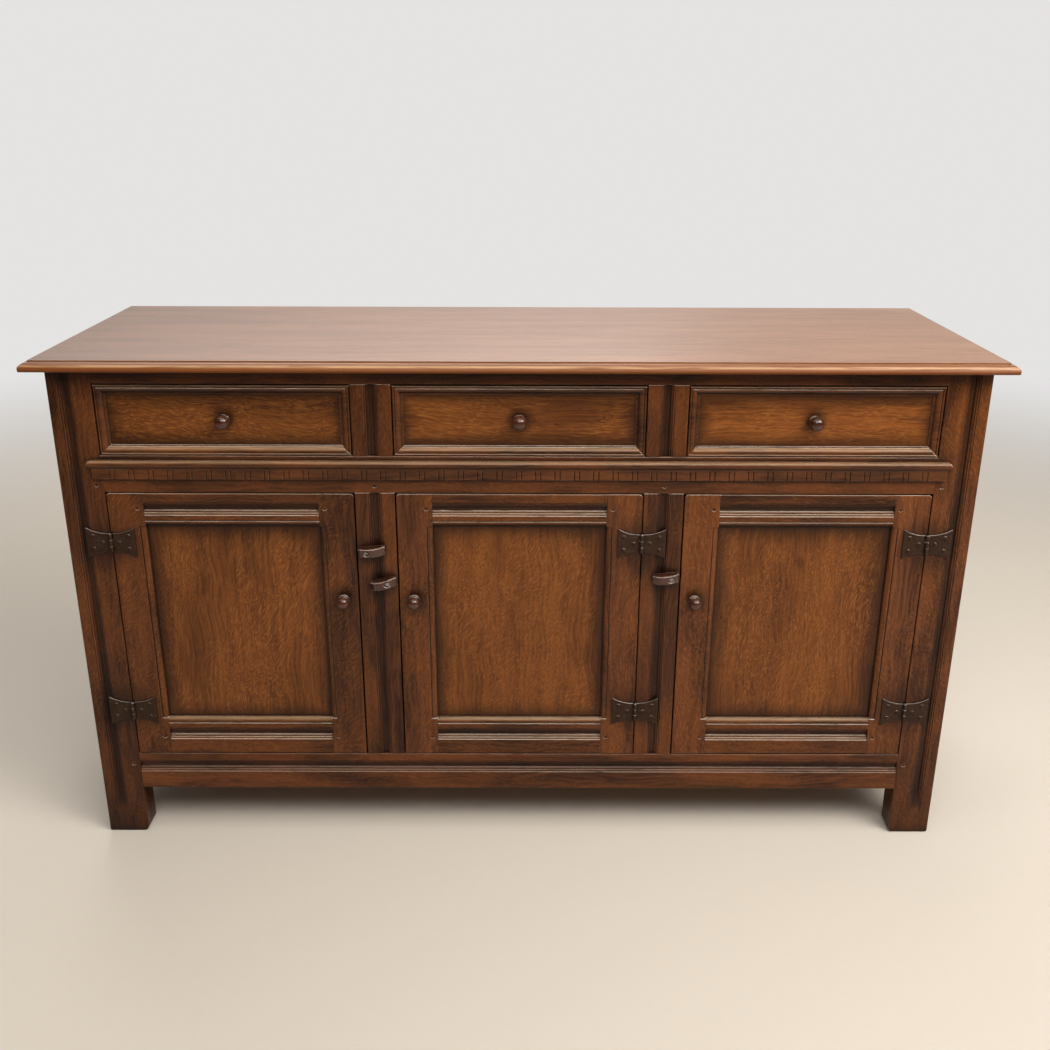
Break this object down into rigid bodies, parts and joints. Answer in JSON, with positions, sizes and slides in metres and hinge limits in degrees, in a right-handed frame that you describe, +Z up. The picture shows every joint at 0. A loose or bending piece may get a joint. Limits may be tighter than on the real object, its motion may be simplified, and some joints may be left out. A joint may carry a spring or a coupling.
{
  "type": "dresser base",
  "caption": "Low oak dresser base in antique style with moulded top, drawers over panelled doors on iron butterfly hinges, wooden turn-buttons and turned knobs.",
  "frame": {"origin": "on the floor under the middle of the top board", "axes": "+Z up, the front looks along -Y, +X to the right as seen from the front"},
  "size_m": [1.488, 0.493, 0.838],
  "materials": {
    "oak_top": "dark stained oak, waxed to a sheen",
    "oak_frame": "dark reddish-brown stained oak, waxed",
    "oak_field": "golden-brown stained oak, waxed",
    "oak_inside": "bare oak, unpolished",
    "turned_wood": "dark stained wood, glossy wax",
    "iron": "dark hammered iron"
  },
  "bodies": {
    "carcass": {"back_panel": "oak_inside", "back_posts": "oak_frame", "back_rails": "oak_inside", "bottom_rail": "oak_frame", "button_screws": "iron", "drawer_guides": "oak_inside", "drawer_kickers": "oak_inside", "drawer_runners": "oak_inside", "floor_boards": "oak_inside", "floor_cleats": "oak_inside", "frame_pegs": "oak_frame", "front_post_left": "oak_frame", "front_post_right": "oak_frame", "front_top_rail": "oak_frame", "hinge_frame_leaves": "iron", "hinge_pins": "iron", "lower_muntins": "oak_frame", "side_panels": "oak_frame", "side_rails": "oak_frame", "top_board": "oak_top", "upper_muntins": "oak_frame", "waist_moulding": "oak_frame", "waist_rail": "oak_frame"},
    "drawer_left": {"drawer_bottom_left": "oak_inside", "drawer_box_left": "oak_inside", "drawer_front_left": "oak_field", "drawer_knob_left": "turned_wood", "drawer_moulding_left": "oak_frame"},
    "door_left": {"door_knob_left": "turned_wood", "door_leaves_left": "iron", "door_panel_left": "oak_field", "door_pegs_left": "oak_frame", "door_rails_left": "oak_frame", "door_stiles_left": "oak_frame"},
    "turn_button_left": {"turn_button_left": "turned_wood"},
    "drawer_middle": {"drawer_bottom_middle": "oak_inside", "drawer_box_middle": "oak_inside", "drawer_front_middle": "oak_field", "drawer_knob_middle": "turned_wood", "drawer_moulding_middle": "oak_frame"},
    "door_middle": {"door_knob_middle": "turned_wood", "door_leaves_middle": "iron", "door_panel_middle": "oak_field", "door_pegs_middle": "oak_frame", "door_rails_middle": "oak_frame", "door_stiles_middle": "oak_frame"},
    "turn_button_middle": {"turn_button_middle": "turned_wood"},
    "drawer_right": {"drawer_bottom_right": "oak_inside", "drawer_box_right": "oak_inside", "drawer_front_right": "oak_field", "drawer_knob_right": "turned_wood", "drawer_moulding_right": "oak_frame"},
    "door_right": {"door_knob_right": "turned_wood", "door_leaves_right": "iron", "door_panel_right": "oak_field", "door_pegs_right": "oak_frame", "door_rails_right": "oak_frame", "door_stiles_right": "oak_frame"},
    "turn_button_right": {"turn_button_right": "turned_wood"}
  },
  "joints": [
    {"name": "drawer_left_slide", "type": "slide", "parent": "carcass", "child": "drawer_left", "axis": [0, -1, 0], "range_m": [0, 0.3]},
    {"name": "door_left_hinge", "type": "hinge", "parent": "carcass", "child": "door_left", "pos_m": [-0.6468, -0.2208, 0.3915], "axis": [0, 0, -1], "range_deg": [0, 110]},
    {"name": "turn_button_left_pivot", "type": "hinge", "parent": "carcass", "child": "turn_button_left", "pos_m": [-0.2415, -0.2175, 0.53], "axis": [0, 1, 0], "continuous": true},
    {"name": "drawer_middle_slide", "type": "slide", "parent": "carcass", "child": "drawer_middle", "axis": [0, -1, 0], "range_m": [0, 0.3]},
    {"name": "door_middle_hinge", "type": "hinge", "parent": "carcass", "child": "door_middle", "pos_m": [0.1943, -0.2208, 0.3915], "axis": [0, 0, 1], "range_deg": [0, 110]},
    {"name": "turn_button_middle_pivot", "type": "hinge", "parent": "carcass", "child": "turn_button_middle", "pos_m": [-0.211, -0.2175, 0.477], "axis": [0, 1, 0], "continuous": true},
    {"name": "drawer_right_slide", "type": "slide", "parent": "carcass", "child": "drawer_right", "axis": [0, -1, 0], "range_m": [0, 0.3]},
    {"name": "door_right_hinge", "type": "hinge", "parent": "carcass", "child": "door_right", "pos_m": [0.6468, -0.2208, 0.3915], "axis": [0, 0, 1], "range_deg": [0, 110]},
    {"name": "turn_button_right_pivot", "type": "hinge", "parent": "carcass", "child": "turn_button_right", "pos_m": [0.2415, -0.2175, 0.48633], "axis": [0, 1, 0], "continuous": true}
  ]
}
